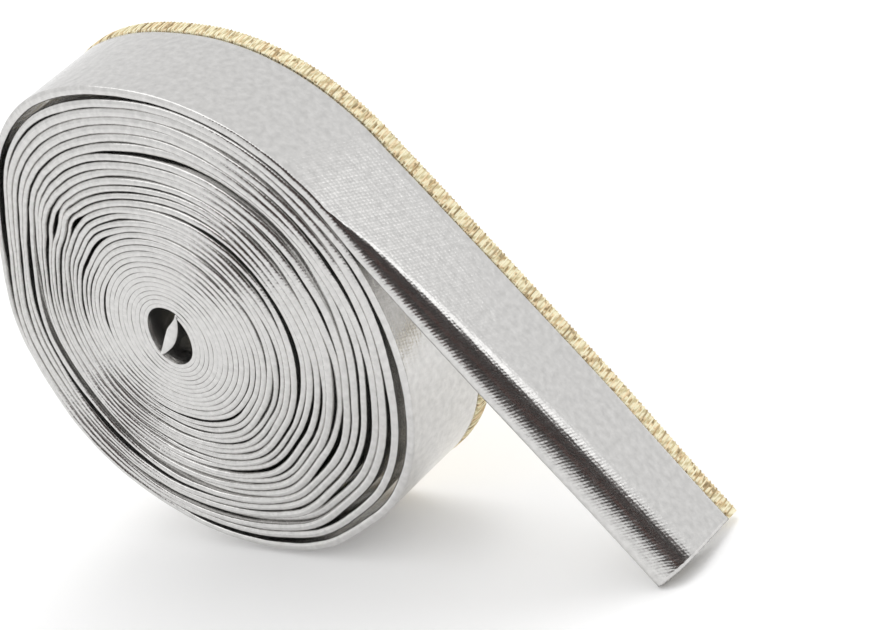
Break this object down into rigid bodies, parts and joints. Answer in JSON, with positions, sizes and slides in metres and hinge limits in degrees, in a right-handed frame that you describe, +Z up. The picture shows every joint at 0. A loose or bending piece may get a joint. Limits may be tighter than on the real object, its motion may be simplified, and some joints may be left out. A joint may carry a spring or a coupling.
{
  "type": "heat shield sleeve roll",
  "caption": "Flat aluminised heat shield sleeve, sewn along one edge and wound into a coil that stands on its rim, with its loose end sloping down to the floor.",
  "frame": {"origin": "middle of the bottom of the bounding box, level with the lowest side of the coil", "axes": "+X from the coil towards the loose outer end, +Y along the coil's axis from the folded edge to the sewn edge, +Z up"},
  "size_m": [0.2478, 0.044, 0.1883],
  "materials": {
    "aluminised_cloth": "woven glass-fibre cloth faced with satin aluminium foil, fine crosswise ribs",
    "seam_thread": "matt pale yellow overlock thread round a silver cloth edge"
  },
  "bodies": {
    "root": {"sleeve": "aluminised_cloth", "overlock_seam": "seam_thread"}
  },
  "joints": []
}
